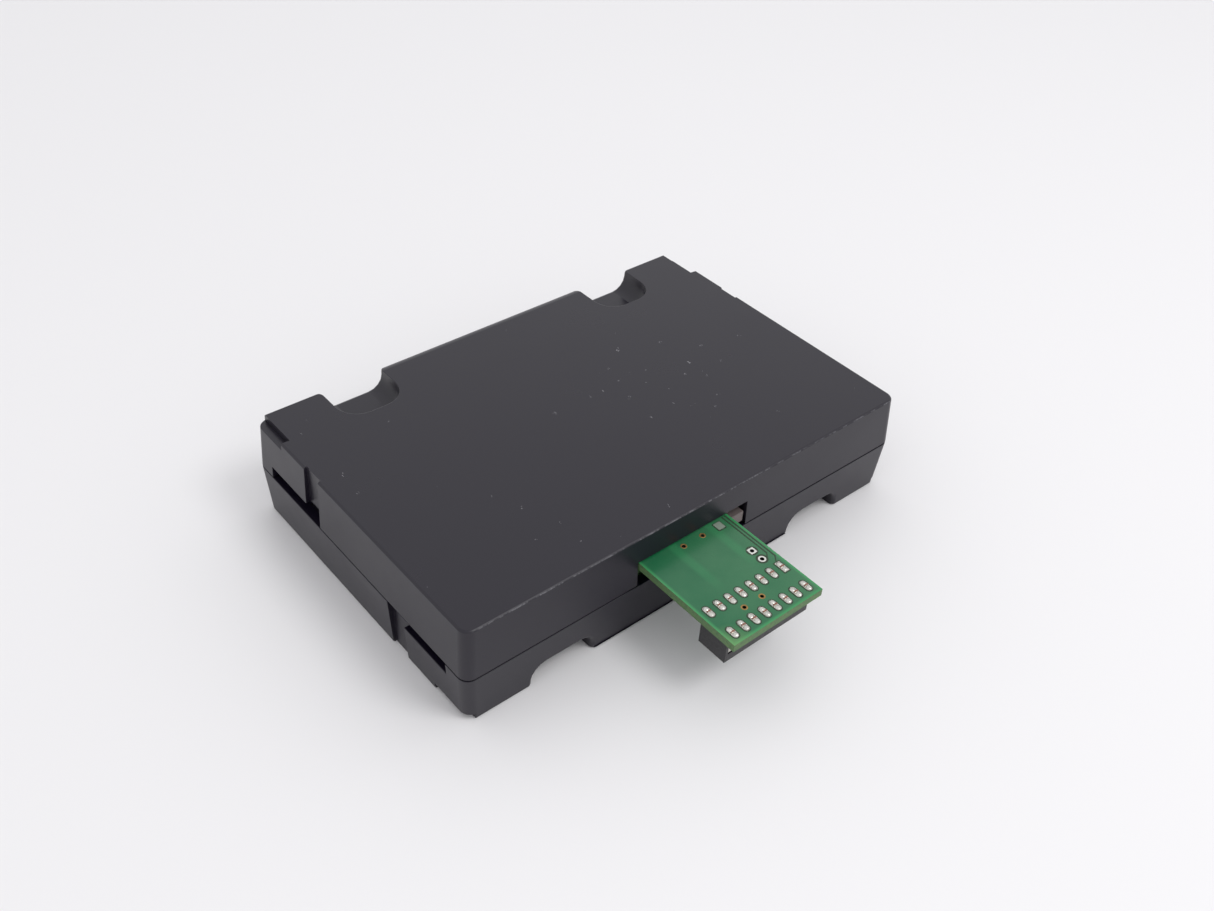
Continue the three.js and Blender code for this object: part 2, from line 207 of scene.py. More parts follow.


# Black ABS, injection moulded against fine spark erosion: a dark, faintly cool satin black.
# The walls keep more of the grit than the flat faces, dust specks and short rubs lie on the top,
# and the long front edge is greyed, partly by handling wear and partly by a painted highlight.
abs_black = surface("abs_moulded_spark_eroded_black", "#100b1a", 0.3, IOR=1.52)
coordinates = add(abs_black, "TexCoord").outputs
place = coordinates["Object"]
across = add(abs_black, "SeparateXYZ", {"Vector": place}).outputs
facing = add(abs_black, "SeparateXYZ", {"Vector": coordinates["Normal"]}).outputs["Z"]
facing = add(abs_black, "Math", {0: facing}, operation="ABSOLUTE").outputs[0]
flat = add(abs_black, "MapRange", {"Value": facing, "From Min": 0.8, "From Max": 0.97}).outputs[0]
cloud = add(abs_black, "TexNoise", {"Vector": place, "Scale": 1 / (14 * MM), "Detail": 4})
# Spark erosion grit is about 0.05 mm; drawn at 0.3 mm so that it shows
grit = add(abs_black, "TexNoise", {"Vector": place, "Scale": 1 / (0.3 * MM), "Detail": 3})
wall_rough = add(abs_black, "MapRange", {"Value": cloud.outputs["Fac"], "From Min": 0.3,
                                         "From Max": 0.7, "To Min": 0.36, "To Max": 0.42})
flat_rough = add(abs_black, "MapRange", {"Value": cloud.outputs["Fac"], "From Min": 0.3,
                                         "From Max": 0.7, "To Min": 0.27, "To Max": 0.33})
rough = add(abs_black, "Mix", {0: flat, 2: wall_rough.outputs[0], 3: flat_rough.outputs[0]})
# Dust: one speck or none in each 3 mm square, thickest where a hand rubs the top
bent = add(abs_black, "TexNoise", {"Vector": place, "Scale": 1 / (0.7 * MM), "Detail": 2})
bend = add(abs_black, "VectorMath", {0: bent.outputs["Color"], 1: (0.5, 0.5, 0.5)},
           operation="SUBTRACT")
bend = add(abs_black, "VectorMath", {0: bend.outputs[0], "Scale": 2.6 * MM}, operation="SCALE")
wavy = add(abs_black, "VectorMath", {0: place, 1: bend.outputs[0]}, operation="ADD")
cell = add(abs_black, "TexVoronoi", {"Vector": wavy.outputs[0], "Scale": 1 / (3 * MM)},
           voronoi_dimensions="2D")
rubbed = add(abs_black, "VectorMath", {0: place, 1: (16 * MM, -3 * MM, 22 * MM)},
             operation="DISTANCE")
rubbed = add(abs_black, "MapRange", {"Value": rubbed.outputs["Value"], "From Min": 6 * MM,
                                     "From Max": 19 * MM, "To Min": 0.58, "To Max": 0.966})
chance = add(abs_black, "SeparateColor", {"Color": cell.outputs["Color"]})
lucky = add(abs_black, "Math", {0: chance.outputs["Red"], 1: rubbed.outputs[0]},
            operation="GREATER_THAN")
size = add(abs_black, "MapRange", {"Value": chance.outputs["Green"], "To Min": 0.018,
                                   "To Max": 0.062})
speck = add(abs_black, "Math", {0: cell.outputs["Distance"], 1: size.outputs[0]},
            operation="LESS_THAN")
speck = add(abs_black, "Math", {0: speck.outputs[0], 1: lucky.outputs[0]}, operation="MULTIPLY")
speck = add(abs_black, "Math", {0: speck.outputs[0], 1: flat}, operation="MULTIPLY")
# Worn edge and painted highlight: broken grey along the top of the long front wall, partly handling
# wear and partly a painted highlight of the edge
top_lo, top_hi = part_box("upper_shell")
front_edge = top_lo.y + 0.634 * MM
along_edge = add(abs_black, "MapRange", {"Value": across["Y"], "From Min": front_edge + 0.06 * MM,
                                         "From Max": front_edge + 0.2 * MM,
                                         "To Min": 1, "To Max": 0})
near_top = add(abs_black, "MapRange", {"Value": across["Z"], "From Min": top_hi.z - 0.36 * MM,
                                       "From Max": top_hi.z - 0.26 * MM})
edge_wear_and_highlight = add(abs_black, "Math", {0: along_edge.outputs[0], 1: near_top.outputs[0]},
           operation="MULTIPLY")
broken = add(abs_black, "TexNoise", {"Vector": place, "Scale": 1 / (2.4 * MM), "Detail": 6,
                                     "Roughness": 0.85})
broken = add(abs_black, "MapRange", {"Value": broken.outputs["Fac"], "From Min": 0.47,
                                     "From Max": 0.68, "To Max": 0.85})
edge_wear_and_highlight = add(abs_black, "Math", {0: edge_wear_and_highlight.outputs[0], 1: broken.outputs[0]}, operation="MULTIPLY")
# One pale grey for the dust specks, the edge wear and the painted edge highlight
dust_wear_and_highlight = add(abs_black, "Math", {0: speck.outputs[0], 1: edge_wear_and_highlight.outputs[0]}, operation="MAXIMUM")
colour = add(abs_black, "Mix", {0: dust_wear_and_highlight.outputs[0], 6: linear("#100b1a"),
                                7: linear("#86858a")}, data_type="RGBA")
bump = add(abs_black, "Bump", {"Height": grit.outputs["Fac"], "Distance": 0.006 * MM})
feed(abs_black, {"Base Color": colour.outputs[2], "Roughness": rough.outputs[0],
                 "Normal": bump.outputs[0]})

grip_middle, grip_half, grip_depth = 32 * MM, 6.75 * MM, 33.7 * MM
for node, name, body in (("upper_shell", "case_cover", "cover"),
                         ("lower_shell", "case_base", "base")):
    shell = merged_copy(node, name)
    # The mouths of the two grips have a 0.8 mm radius where they leave the long wall
    bevel(shell, 0.8 * MM, 4, lambda e: len(e.link_faces) == 2
          and max(abs(f.normal.y) for f in e.link_faces) > 0.6
          and min(abs(f.normal.y) for f in e.link_faces) < 0.3
          and all(abs(v.co.y) > grip_depth and abs(abs(v.co.x) - grip_middle) < grip_half
                  for v in e.verts))
    break_edges(shell, 0.12 * MM)
    smooth(shell, level=True)
    finish_piece(shell, [abs_black], body)


# ---------------------------------------------------------------- Circuit boards
# The main board between the shells and the adapter board that sticks out of the front.
# Both are 1.6 mm glass fibre laminate with copper under a green solder mask, routed to size.

# Glass fibre and epoxy, routed edge: a dull yellow green with fine layers of cloth
laminate = surface("fibreglass_laminate_routed", "#56683c", 0.62)
place = add(laminate, "TexCoord").outputs["Object"]
split = add(laminate, "SeparateXYZ", {"Vector": place}).outputs
# Eight layers of cloth lie in 1.6 mm, one each 0.2 mm
layers = add(laminate, "Math", {0: split["Z"], 1: 2 * math.pi / (0.2 * MM)},
             operation="MULTIPLY")
layers = add(laminate, "Math", {0: layers.outputs[0]}, operation="SINE")
fray = add(laminate, "TexNoise", {"Vector": place, "Scale": 1 / (0.5 * MM), "Detail": 3})
tone = add(laminate, "Math", {0: layers.outputs[0], 1: 0.16, 2: fray.outputs["Fac"]},
           operation="MULTIPLY_ADD")
tone = add(laminate, "Mix", {0: tone.outputs[0], 6: linear("#375b3f"), 7: linear("#67824f")},
           data_type="RGBA")
feed(laminate, {"Base Color": tone.outputs[2]})


def mask_over(name, lo, hi, margin, bands):
    """Green solder mask, screen printed over copper and laminate. Over copper it is a deep blue
    green; the bare margin at the board's edge lets the laminate's yellow through."""
    made = surface(name, "#1f6a47", 0.26, IOR=1.5)
    at = add(made, "TexCoord").outputs["Object"]
    axes = add(made, "SeparateXYZ", {"Vector": at}).outputs
    inside = None
    for axis, low, high in (("X", lo.x, hi.x), ("Y", lo.y, hi.y)):
        for edge, way in ((low, 1), (high, -1)):
            near = add(made, "MapRange", {
                "Value": axes[axis], "From Min": edge + way * 0.3 * margin,
                "From Max": edge + way * margin}).outputs[0]
            inside = near if inside is None else add(
                made, "Math", {0: inside, 1: near}, operation="MINIMUM").outputs[0]
    # The print is thicker in some places than in others, over about 6 mm
    cloud = add(made, "TexNoise", {"Vector": at, "Scale": 1 / (6 * MM), "Detail": 3})
    along = add(made, "MapRange", {"Value": axes["X"], "From Min": lo.x, "From Max": hi.x,
                                   "To Min": -0.3, "To Max": 0.3})
    tone = add(made, "Math", {0: cloud.outputs["Fac"], 1: along.outputs[0]}, operation="ADD")
    over_copper = add(made, "Mix", {0: tone.outputs[0], 6: linear("#10603b"),
                                    7: linear("#38714c")}, data_type="RGBA")
    # Weave of the cloth below, threads about 0.5 mm apart, shows faintly
    weave = add(made, "TexNoise", {"Vector": at, "Scale": 1 / (0.5 * MM), "Detail": 2})
    height = add(made, "Math", {0: inside, 1: 1.6, 2: weave.outputs["Fac"]},
                 operation="MULTIPLY_ADD")
    # Where the copper below ends the laminate shows as paler bands, about 2 mm wide
    for middle, half in bands:
        off = add(made, "Math", {0: axes["X"], 1: middle}, operation="SUBTRACT")
        off = add(made, "Math", {0: off.outputs[0]}, operation="ABSOLUTE")
        band = add(made, "MapRange", {"Value": off.outputs[0], "From Min": 0.6 * half,
                                      "From Max": 1.6 * half, "To Min": 0.24, "To Max": 0})
        # they stop where the contact rows begin
        clear = add(made, "MapRange", {"Value": axes["Y"], "From Min": lo.y + 10 * MM,
                                       "From Max": lo.y + 16 * MM})
        band = add(made, "Math", {0: band.outputs[0], 1: clear.outputs[0]},
                   operation="MULTIPLY")
        over_copper = add(made, "Mix", {0: band.outputs[0], 6: over_copper.outputs[2],
                                        7: linear("#35935a")}, data_type="RGBA")
    both = add(made, "Mix", {0: inside, 6: linear("#358a52"), 7: over_copper.outputs[2]},
               data_type="RGBA")
    # The print thins to yellow towards the board's front left corner
    corner = add(made, "VectorMath", {0: at, 1: (lo.x, lo.y, hi.z)}, operation="DISTANCE")
    thin = add(made, "MapRange", {"Value": corner.outputs["Value"], "From Min": 0.5 * MM,
                                  "From Max": 5 * MM, "To Min": 0.6, "To Max": 0})
    both = add(made, "Mix", {0: thin.outputs[0], 6: both.outputs[2], 7: linear("#6d9a5c")},
               data_type="RGBA")
    relief = add(made, "Bump", {"Height": height.outputs[0], "Distance": 0.012 * MM})
    feed(made, {"Base Color": both.outputs[2], "Normal": relief.outputs[0]})
    return made


main_lo, main_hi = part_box("main_board")
tab_lo, tab_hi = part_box("adapter_board")
main_mask = mask_over("solder_mask_green_main", main_lo, main_hi, 1.2 * MM, ())
tab_mask = mask_over("solder_mask_green_adapter", tab_lo, tab_hi, 0.7 * MM,
                     ((-8.2 * MM, 0.8 * MM), (0.8 * MM, 0.8 * MM)))
for node, name, mask in (("main_board", "main_circuit_board", main_mask),
                         ("adapter_board", "adapter_circuit_board", tab_mask)):
    board = merged_copy(node, name)
    break_edges(board, 0.06 * MM)
    finish_piece(board, [mask, laminate])
    for face in board.data.polygons:
        face.material_index = int(abs(face.normal.z) < 0.5)
    smooth(board)


# ---------------------------------------------------------------- Copper on the adapter board
# Two tracks down the right edge, plated vias, the two jumper holes and one soldering land.
def settle(piece):
    """Puts a primitive's place into its mesh, so that its object sits at the origin."""
    piece.data.transform(piece.matrix_world)
    piece.matrix_world = Matrix.Identity(4)
    return piece


def drawn_strip(name, points, width, thickness):
    """A strip drawn out along points: one edge across X, extruded from point to point."""
    start = Vector(points[0])
    deselect()
    bpy.ops.mesh.primitive_plane_add(size=width, location=start)
    strip = settle(bpy.context.object)
    strip.name = name
    choose(strip, edit(strip, "VERT"), "verts", lambda v: v.co.y > start.y)
    bpy.ops.mesh.delete(type="VERT")
    bpy.ops.mesh.select_all(action="SELECT")
    bpy.ops.transform.translate(value=(0, width / 2, 0))
    for a, b in zip(points, points[1:]):
        bpy.ops.mesh.extrude_region_move(
            TRANSFORM_OT_translate={"value": tuple(Vector(b) - Vector(a))})
    bpy.ops.object.mode_set(mode="OBJECT")
    wall = strip.modifiers.new("thickness", "SOLIDIFY")
    wall.thickness = thickness
    wall.offset = 0
    bpy.ops.object.modifier_apply(modifier=wall.name)
    edit(strip)
    bpy.ops.mesh.normals_make_consistent(inside=False)
    bpy.ops.object.mode_set(mode="OBJECT")
    return strip


def brick(name, lo, hi, edge=0.0, segments=2):
    """A block between two corners with its edges rounded."""
    deselect()
    lo, hi = Vector(lo), Vector(hi)
    bpy.ops.mesh.primitive_cube_add(size=1, location=(lo + hi) / 2, scale=hi - lo)
    block = settle(bpy.context.object)
    block.name = name
    if edge:
        bevel(block, edge, segments)
    return block


def upright(edge):
    """Whether an edge stands along Z."""
    return abs((edge.verts[0].co - edge.verts[1].co).normalized().z) > 0.99


def land(name, x, y, z, width, length, height, corner):
    """A flat land of copper with rounded corners, its underside at z."""
    deselect()
    bpy.ops.mesh.primitive_cube_add(size=1, location=(x, y, z + height / 2),
                                    scale=(width, length, height))
    made = settle(bpy.context.object)
    made.name = name
    if corner:
        bevel(made, min(corner, 0.499 * width, 0.499 * length), 5, upright)
    return made


def ring(name, x, y, z, hole, outside, height):
    """A flat plated ring round a hole."""
    deselect()
    bpy.ops.mesh.primitive_torus_add(location=(x, y, z), major_segments=24, minor_segments=8,
                                     major_radius=(hole + outside) / 2,
                                     minor_radius=(outside - hole) / 2)
    made = settle(bpy.context.object)
    made.name = name
    made.data.transform(Matrix.Translation((0, 0, z)) @ Matrix.Diagonal(
        (1, 1, height / (outside - hole), 1)) @ Matrix.Translation((0, 0, -z)))
    return made


def hollow(piece, cutter):
    """Cuts the cutter out of a piece and removes it."""
    pick(piece)
    cut = piece.modifiers.new("cut", "BOOLEAN")
    cut.operation = "DIFFERENCE"
    cut.object = cutter
    bpy.ops.object.modifier_apply(modifier=cut.name)
    bpy.data.objects.remove(cutter)


def drill(x, y, radius):
    """The drill for one hole through the adapter board."""
    deselect()
    bpy.ops.mesh.primitive_cylinder_add(vertices=24, radius=radius, depth=4 * MM,
                                        location=(x, y, board_top))
    return settle(bpy.context.object)


def copy_to(piece, name, move, turn=0.0):
    """A copy with its own mesh, turned about Z and then moved."""
    made = bpy.data.objects.new(name, piece.data.copy())
    bpy.context.scene.collection.objects.link(made)
    made.data.transform(Matrix.Translation(move) @ Matrix.Rotation(turn, 4, "Z"))
    return made


def joined(pieces, name):
    """Several meshes as one piece."""
    pick(pieces[0])
    for piece in pieces[1:]:
        piece.select_set(True)
    bpy.ops.object.join()
    pieces[0].name = name
    return pieces[0]


def patches(material, size, detail, relief=0.0):
    """Patches of this size over a piece, as a socket. With relief they stand up by that much."""
    place = add(material, "TexCoord").outputs["Object"]
    noise = add(material, "TexNoise", {"Vector": place, "Scale": 1 / size, "Detail": detail})
    if relief:
        bump = add(material, "Bump", {"Height": noise.outputs["Fac"], "Distance": relief})
        feed(material, {"Normal": bump.outputs[0]})
    return noise.outputs["Fac"]


def mottle(material, size, detail, dark, light, relief=0.0):
    """Drifts a material's colour between two tones over such patches."""
    tone = add(material, "Mix", {0: patches(material, size, detail, relief),
                                 6: linear(dark), 7: linear(light)}, data_type="RGBA")
    feed(material, {"Base Color": tone.outputs[2]})


def uneven(material, size, detail, smoothest, roughest, fade=0.0, relief=0.0):
    """Drifts a material's roughness over such patches. Fade is the share of their range that
    is left out at each end."""
    sheen = add(material, "MapRange", {"Value": patches(material, size, detail, relief),
                                       "From Min": fade, "From Max": 1 - fade,
                                       "To Min": smoothest, "To Max": roughest})
    feed(material, {"Roughness": sheen.outputs[0]})


# Tin lead solder, melted and set: bright, with soft dents and a slightly dull frosted skin.
# Grains of the set metal are about 0.2 mm
solder = surface("solder_tin_lead_reflowed", "#d2d0c9", 0.24, Metallic=0.9)
uneven(solder, 0.22 * MM, 3, 0.14, 0.42, fade=0.35, relief=0.05 * MM)
# Immersion gold over copper on the vias, dulled: brown gold rings
gilt = surface("immersion_gold_dull", "#9c7a48", 0.42, Metallic=0.75)
mottle(gilt, 0.6 * MM, 3, "#6d5334", "#c09a5c")
# Bare laminate in the gap round each land, a dark olive line, darkened further by painted shade
gap_green_and_shade = surface("bare_laminate_gap_painted_shade", "#142a1b", 0.5)
mottle(gap_green_and_shade, 0.4 * MM, 2, "#0e2216", "#2f4a2c")

wall_y = -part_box("upper_shell")[1].y           # the rim line of the front wall
board_top = tab_hi.z
socket_lo, socket_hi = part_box("target_socket_body")
socket_y = (socket_lo.y + socket_hi.y) / 2

for name, inset, turn_off in (("outer_track", 0.75 * MM, 9.2 * MM),
                              ("inner_track", 1.45 * MM, 10.6 * MM)):
    x = tab_hi.x - inset
    end = tab_lo.y + turn_off
    track = drawn_strip(name, [(x, wall_y + 0.3 * MM, board_top), (x, end + 1.6 * MM, board_top),
                               (x - 1.3 * MM, end, board_top)], 0.28 * MM, 0.05 * MM)
    finish_piece(track, [gap_green_and_shade])

drills = []
for number, (x, y) in enumerate(((-8.275 * MM, socket_y), (-4.025 * MM, socket_y),
                                 (-6.5 * MM, wall_y - 1.1 * MM),
                                 (-1.9 * MM, wall_y - 1.1 * MM))):
    via = ring(f"via_ring_{number + 1}", x, y, board_top, 0.36 * MM, 0.64 * MM, 0.05 * MM)
    finish_piece(via, [gilt])
    smooth(via)
    drills.append(drill(x, y, 0.38 * MM))

# Tin dipped and wiped: pale and satin, so it looks nearly white from any side
bright_tin = surface("tin_wiped_pale", "#dcdcd6", 0.5, Metallic=0.35)
mottle(bright_tin, 0.5 * MM, 2, "#cfcfc8", "#e4e4df")
jumper_x, jumper_y = tab_hi.x - 3.2 * MM, tab_lo.y + 11.6 * MM
pitch = 2.54 * MM
round_land = ring("jumper_land_round", jumper_x, jumper_y, board_top, 0.42 * MM, 0.76 * MM,
                  0.07 * MM)
square_land = ring("jumper_land_square", jumper_x, jumper_y + pitch, board_top, 0.42 * MM,
                   0.8 * MM, 0.07 * MM)
for vertex in square_land.data.vertices:
    reach = Vector((vertex.co.x - jumper_x, vertex.co.y - jumper_y - pitch))
    if reach.length > 0.6 * MM:
        side = max(abs(reach.x), abs(reach.y))
        vertex.co.x = jumper_x + reach.x * reach.length / side * 0.9
        vertex.co.y = jumper_y + pitch + reach.y * reach.length / side * 0.9
for piece in (round_land, square_land):
    finish_piece(piece, [bright_tin])
    smooth(piece)
for number, y in enumerate((jumper_y, jumper_y + pitch)):
    clearance = ring(f"jumper_gap_{number + 1}", jumper_x, y, board_top, 0.7 * MM, 1.16 * MM,
                     0.03 * MM)
    finish_piece(clearance, [gap_green_and_shade])
    drills.append(drill(jumper_x, y, 0.45 * MM))
adapter = bpy.data.objects["adapter_circuit_board"]
hollow(adapter, joined(drills, "drills"))
# Painted shade: the walls of the holes are coloured nearly black, for the shade down inside them
hole_painted_shade = surface("hole_wall_painted_shade", "#0b120d", 0.6)
mottle(hole_painted_shade, 0.3 * MM, 2, "#080d0a", "#101a13")
adapter.data.materials.append(hole_painted_shade)
for face in adapter.data.polygons:
    wall = abs(face.normal.z) < 0.5
    inner = tab_lo.x + MM < face.center.x < tab_hi.x - MM and (
        tab_lo.y + MM < face.center.y < tab_hi.y - MM)
    # Outer edges get the laminate, the hole walls get the painted shade
    face.material_index = int(wall) + int(wall and inner)
smooth(adapter)

# Tin levelled with hot air and not soldered on: an even, slightly green grey
hasl = surface("tin_levelled_flat", "#8b9a8a", 0.5, Metallic=0.4)
mottle(hasl, 0.8 * MM, 1, "#7f9080", "#9aa799")
patch_gap = land("test_land_gap", 2.25 * MM, wall_y - 1.15 * MM, board_top, 1.95 * MM, 2.1 * MM,
                 0.02 * MM, 0.2 * MM)
finish_piece(patch_gap, [gap_green_and_shade])
patch = land("test_land", 2.25 * MM, wall_y - 1.15 * MM, board_top + 0.02 * MM, 1.6 * MM,
             1.75 * MM, 0.09 * MM, 0.2 * MM)
break_edges(patch, 0.03 * MM)
finish_piece(patch, [hasl])
smooth(patch)


# ---------------------------------------------------------------- Target socket
# A 16 way two row socket under the adapter's tip. Each stamped contact has a tail that comes
# up through the board and is soldered there, a dome of solder on each side of it.
first_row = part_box("target_contact_1")[1].y - 0.15 * MM
rows = (first_row, 2 * socket_y - first_row)
pad_width, pad_length, gap_width, gap_length = 1.14 * MM, 2.6 * MM, 1.6 * MM, 3.06 * MM


def solder_joint(name, square):
    """One land with its gap, its two domes and the low saddle where the tail comes through."""
    gap = land("gap", 0, 0, 0, gap_width, gap_length, 0.02 * MM, 0 if square else gap_width / 2)
    pad = land("pad", 0, 0, 0.02 * MM, pad_width, pad_length, 0.05 * MM,
               0 if square else pad_width / 2)
    pad.data.materials.append(solder)
    gap.data.materials.append(gap_green_and_shade)
    blobs = []
    for y, radius, deep, high in ((0.7, 0.5, 0.56, 0.3), (-0.7, 0.5, 0.56, 0.3),
                                  (0, 0.44, 0.5, 0.16)):
        deselect()
        bpy.ops.mesh.primitive_uv_sphere_add(segments=20, ring_count=12, radius=1,
                                             location=(0, y * MM, 0.05 * MM),
                                             scale=(radius * MM, deep * MM, high * MM))
        blob = settle(bpy.context.object)
        edit(blob)
        bpy.ops.mesh.bisect(plane_co=(0, 0, 0.03 * MM), plane_no=(0, 0, 1), clear_inner=True,
                            use_fill=True)
        bpy.ops.object.mode_set(mode="OBJECT")
        blob.data.materials.append(solder)
        blobs.append(blob)
    return joined([pad, gap, *blobs], name)


oblong = solder_joint("oblong_joint", False)
square = solder_joint("square_joint", True)
random.seed(7)
for number in range(16):
    low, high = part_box(f"target_contact_{number + 1}")
    middle = Vector(((low.x + high.x) / 2, rows[number // 8], board_top))
    joint = copy_to(square if number == 7 else oblong, f"target_joint_{number + 1}", middle)
    swell = (random.uniform(0.8, 1.15), random.uniform(0.8, 1.15))
    lean = random.uniform(-0.12, 0.12) * MM
    for vertex in joint.data.vertices:      # no two joints take up the same solder
        off = vertex.co - middle
        if off.z > 0.09 * MM:
            vertex.co.z = board_top + off.z * swell[off.y > 0] * random.uniform(0.95, 1.05)
            vertex.co.x += lean * (1 if off.y > 0 else -0.7)
    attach(joint, "base")
    smooth(joint, 40)
for pattern in (oblong, square):
    bpy.data.objects.remove(pattern)

# Glass filled polyester, moulded: black with a slight grey bloom. Its short glass fibres lie
# near the skin, 0.3 mm long
polyester = surface("polyester_glass_filled_black", "#161418", 0.38, IOR=1.46)
uneven(polyester, 0.3 * MM, 4, 0.28, 0.46, fade=0.35, relief=0.01 * MM)

socket = merged_copy("target_socket_body", "target_socket")
break_edges(socket, 0.1 * MM, lambda e: e.calc_length() > 4 * MM and any(
    f.calc_area() > 20e-6 for f in e.link_faces))
smooth(socket)
finish_piece(socket, [polyester])

# Phosphor bronze strip, tinned and then cut: the cut ends show the pink metal
tinned = surface("phosphor_bronze_tinned", "#c9c6bf", 0.3, Metallic=1.0)
uneven(tinned, 0.4 * MM, 2, 0.2, 0.45)
place = add(tinned, "TexCoord").outputs["Object"]
height = add(tinned, "SeparateXYZ", {"Vector": place}).outputs["Z"]
cut_end = add(tinned, "MapRange", {"Value": height, "From Min": board_top + 0.3 * MM,
                                   "From Max": board_top + 0.34 * MM})
tone = add(tinned, "Mix", {0: cut_end.outputs[0], 6: linear("#c9c6bf"), 7: linear("#9a6f62")},
           data_type="RGBA")
feed(tinned, {"Base Color": tone.outputs[2]})
for number in range(16):
    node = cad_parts[f"target_contact_{number + 1}"]
    node.data.materials.clear()
    node.data.materials.append(tinned)


# ---------------------------------------------------------------- Socket strips
# Two female strips soldered to the main board: the double row one by the port carries the
# adapter from below. They are moulded nylon, gone grey brown, with a tinned fork in each way.

# Nylon, moulded: a dull grey brown with flow marks a few millimetres long and a fine grain
nylon = surface("nylon_moulded_grey_brown", "#7a716e", 0.5)
mottle(nylon, 2.5 * MM, 4, "#5a5150", "#736967")
patches(nylon, 0.25 * MM, 3, relief=0.008 * MM)

way_half, fork_half = 0.4 * MM, 0.32 * MM
for node, name, row_places in (
        ("adapter_socket_strip", "front_socket_strip", (-0.5, 0.5)),
        ("adapter_rear_strip", "rear_socket_strip", (0.0,))):
    low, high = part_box(node)
    strip = merged_copy(node, name)
    ways = round((high.x - low.x) / pitch)
    cutters = []
    for way in range(ways):
        for row in row_places:
            x = (low.x + high.x) / 2 + (way - (ways - 1) / 2) * pitch
            y = high.y - (len(row_places) * 1.25 * MM) + row * pitch
            cutters.append(brick("way", (x - way_half, y - way_half, high.z - 1.2 * MM),
                                 (x + way_half, y + way_half, high.z + 1 * MM)))
            fork = brick(f"{name}_fork_{len(cutters)}",
                         (x - fork_half, y - fork_half, high.z - 1.15 * MM),
                         (x + fork_half, y - 0.12 * MM, high.z - 0.15 * MM), 0.04 * MM)
            finish_piece(fork, [tinned])
    hollow(strip, joined(cutters, "ways"))
    break_edges(strip, 0.12 * MM, lambda e: e.calc_length() > 1.5 * MM)
    finish_piece(strip, [nylon])
    smooth(strip)


# ---------------------------------------------------------------- Port plate and lamps
# The lower shell's port is at the back. A plate closes it round the USB receptacle, with a
# round window in front of each lamp: green for power and amber for busy.
plate = merged_copy("port_plate", "rear_port_plate")
break_edges(plate, 0.12 * MM)
finish_piece(plate, [abs_black])
smooth(plate)


def lens(name, colour, glow):
    """Dyed clear epoxy, cast: glossy, with the lamp's pale cup showing through."""
    made = surface(name, colour, 0.12, IOR=1.52)
    mottle(made, 1.2 * MM, 2, colour, glow)
    return made


for node, material, slot in (
        ("power_lamp", lens("epoxy_cast_dyed_green", "#2f9440", "#8fd98f"), "green_lens"),
        ("busy_lamp", lens("epoxy_cast_dyed_amber", "#c98a12", "#f2cf70"), "amber_lens")):
    low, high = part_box(node)
    centre = (low + high) / 2
    radius = min(high.x - low.x, high.z - low.z) / 2 - 0.1 * MM
    deselect()
    bpy.ops.mesh.primitive_cylinder_add(vertices=32, radius=radius, depth=high.y - low.y,
                                        location=centre)
    bulb = settle(bpy.context.object)
    bulb.name = node + "_bulb"
    bulb.data.transform(Matrix.Translation(centre) @ Matrix.Rotation(math.radians(-90), 4, "X")
                        @ Matrix.Translation(-centre))
    bevel(bulb, 0.8 * MM, 6, lambda e: all(v.co.y > centre.y for v in e.verts))
    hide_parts(node)
    finish_piece(bulb, [material])
    smooth(bulb, 40)


# ---------------------------------------------------------------- USB receptacle
# A five pin mini receptacle under the board's back edge: a folded nickel plated steel can
# with a moulded tongue that carries gold plated springs.
nickel = surface("steel_nickel_plated_bright", "#bdbab2", 0.22, Metallic=1.0)
place = add(nickel, "TexCoord").outputs["Object"]
# Rolling lines of the strip run along the can, about 0.15 mm apart
stretch = add(nickel, "Mapping", {"Vector": place, "Scale": (1 / (0.15 * MM), 60, 1 / (0.15 * MM))})
rolled = add(nickel, "TexNoise", {"Vector": stretch.outputs[0], "Scale": 1.0, "Detail": 3})
sheen = add(nickel, "MapRange", {"Value": rolled.outputs["Fac"], "From Min": 0.3,
                                 "From Max": 0.7, "To Min": 0.16, "To Max": 0.34})
feed(nickel, {"Roughness": sheen.outputs[0]})
can = merged_copy("usb_receptacle_can", "usb_can")
break_edges(can, 0.08 * MM)
finish_piece(can, [nickel])
smooth(can)

tongue = merged_copy("usb_receptacle_insert", "usb_tongue")
break_edges(tongue, 0.06 * MM)
finish_piece(tongue, [polyester])
smooth(tongue)

# Phosphor bronze strip under gold plate: warm, bright and a little wiped
gold = surface("phosphor_bronze_gold_plated", "#d8ab55", 0.28, Metallic=1.0)
uneven(gold, 0.5 * MM, 3, 0.18, 0.4)
can_lo, can_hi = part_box("usb_receptacle_can")
middle = (can_lo + can_hi) / 2
spring_pitch = 0.8 * MM
for number in range(5):
    x = middle.x + (number - 2) * spring_pitch
    spring = brick(f"usb_spring_{number + 1}",
                   (x - 0.18 * MM, can_hi.y - 6 * MM, middle.z - 0.06 * MM),
                   (x + 0.18 * MM, can_hi.y - 2.2 * MM, middle.z + 0.02 * MM), 0.02 * MM)
    finish_piece(spring, [gold])


# ---------------------------------------------------------------- Chips
# The controller, logic, memory, level shifters, buffer and supply parts. Each is black epoxy
# moulded round a tinned copper lead frame, whose gull wing leads are soldered to the board.

# Epoxy full of silica: matt black with a fine sparkle, drawn at 0.15 mm so that it shows
epoxy = surface("novolac_epoxy_moulded_black", "#1a1a1c", 0.55)
mottle(epoxy, 0.15 * MM, 4, "#131315", "#26262a", relief=0.012 * MM)


